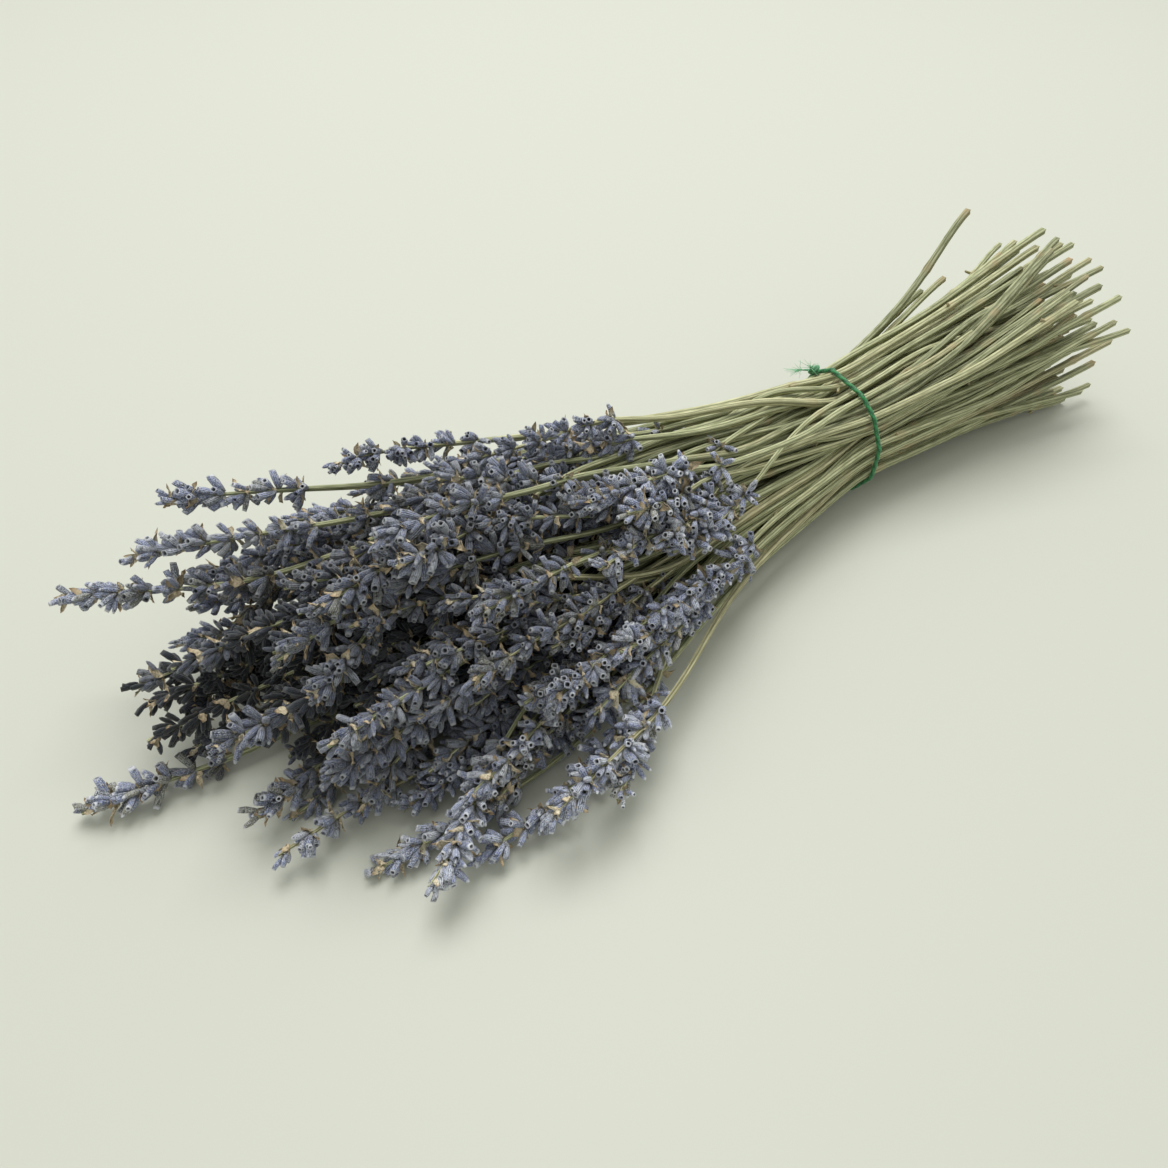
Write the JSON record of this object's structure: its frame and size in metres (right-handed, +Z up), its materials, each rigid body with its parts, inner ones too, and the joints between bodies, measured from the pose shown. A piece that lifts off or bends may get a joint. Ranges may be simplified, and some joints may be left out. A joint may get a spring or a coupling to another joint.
{
  "type": "bunch of dried lavender",
  "caption": "Bunch of dried lavender lying on its side: long thin stems with purple-grey flower spikes, gathered and held by one thin green elastic tie.",
  "frame": {"origin": "centre of the bunch's own outline, at the height of the table it lies on", "axes": "+X along the bunch from the flower heads to the cut ends, +Y to its far side, +Z up"},
  "size_m": [0.3778, 0.1232, 0.0727],
  "materials": {
    "dried_stem": "dry matte sage green, square grooved stems with tan cut ends",
    "dried_flowers": "dry matte purple-grey calyces with papery tan bracts",
    "green_elastic": "twisted green elastic cord, satin, frayed light green at the knot's ends"
  },
  "bodies": {
    "root": {"stem_01": "dried_stem", "flower_spike_01": "dried_flowers", "stem_02": "dried_stem", "flower_spike_02": "dried_flowers", "stem_03": "dried_stem", "flower_spike_03": "dried_flowers", "stem_04": "dried_stem", "flower_spike_04": "dried_flowers", "stem_05": "dried_stem", "flower_spike_05": "dried_flowers", "stem_06": "dried_stem", "flower_spike_06": "dried_flowers", "stem_07": "dried_stem", "flower_spike_07": "dried_flowers", "stem_08": "dried_stem", "flower_spike_08": "dried_flowers", "stem_09": "dried_stem", "flower_spike_09": "dried_flowers", "stem_10": "dried_stem", "flower_spike_10": "dried_flowers", "stem_11": "dried_stem", "flower_spike_11": "dried_flowers", "stem_12": "dried_stem", "flower_spike_12": "dried_flowers", "stem_13": "dried_stem", "flower_spike_13": "dried_flowers", "stem_14": "dried_stem", "flower_spike_14": "dried_flowers", "stem_15": "dried_stem", "flower_spike_15": "dried_flowers", "stem_16": "dried_stem", "flower_spike_16": "dried_flowers", "stem_17": "dried_stem", "flower_spike_17": "dried_flowers", "stem_18": "dried_stem", "flower_spike_18": "dried_flowers", "stem_19": "dried_stem", "flower_spike_19": "dried_flowers", "sheaf_01_stems": "dried_stem", "sheaf_01_flowers": "dried_flowers", "sheaf_02_stems": "dried_stem", "sheaf_02_flowers": "dried_flowers", "sheaf_03_stems": "dried_stem", "sheaf_03_flowers": "dried_flowers", "sheaf_04_stems": "dried_stem", "sheaf_04_flowers": "dried_flowers", "sheaf_05_stems": "dried_stem", "sheaf_05_flowers": "dried_flowers", "sheaf_06_stems": "dried_stem", "sheaf_06_flowers": "dried_flowers", "sheaf_07_stems": "dried_stem", "sheaf_07_flowers": "dried_flowers", "sheaf_08_stems": "dried_stem", "sheaf_08_flowers": "dried_flowers", "sheaf_09_stems": "dried_stem", "sheaf_09_flowers": "dried_flowers", "sheaf_10_stems": "dried_stem", "sheaf_10_flowers": "dried_flowers", "elastic_tie": "green_elastic"}
  },
  "joints": []
}
